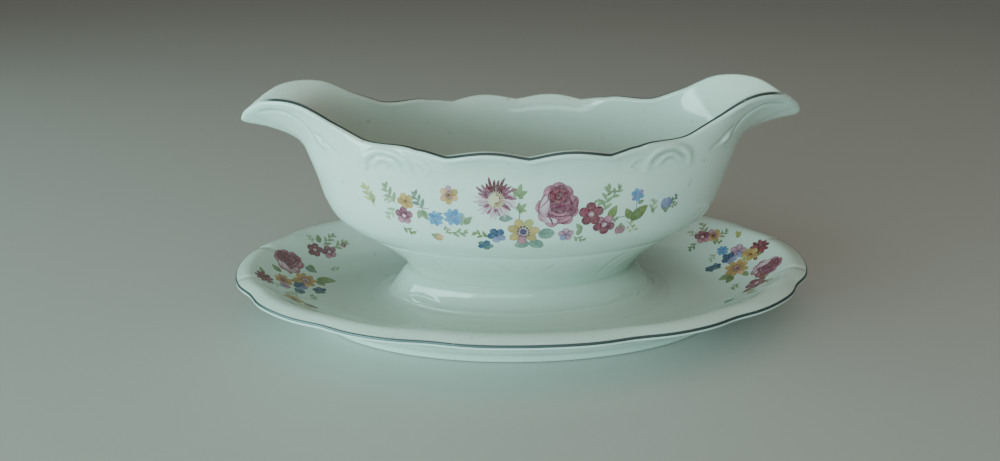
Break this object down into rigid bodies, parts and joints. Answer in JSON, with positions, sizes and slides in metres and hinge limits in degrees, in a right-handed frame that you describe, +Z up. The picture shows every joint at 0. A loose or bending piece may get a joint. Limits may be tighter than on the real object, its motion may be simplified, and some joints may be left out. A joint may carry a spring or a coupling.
{
  "type": "gravy boat with attached underplate",
  "caption": "Glazed ceramic sauce boat with a pouring lip at each end on an oval foot, luted to a scalloped oval underplate, with platinum rim lines and printed flower sprays.",
  "frame": {"origin": "middle of the underplate's foot ring, on the surface that it stands on", "axes": "+X along the length towards one pouring lip, +Y across towards the back, +Z up"},
  "size_m": [0.236, 0.143, 0.0955],
  "materials": {
    "glaze": "clear gloss glaze over cool off-white body",
    "platinum_line": "thin worn platinum lustre, dark grey and half glossy",
    "flower_print": "printed enamel colours fired onto the glaze"
  },
  "bodies": {
    "root": {"boat": "glaze", "underplate": "glaze", "luting_slip": "glaze", "boat_rim_line": "platinum_line", "underplate_rim_line": "platinum_line", "transfer_front": "flower_print", "transfer_back": "flower_print", "transfer_left": "flower_print", "transfer_right": "flower_print"}
  },
  "joints": []
}
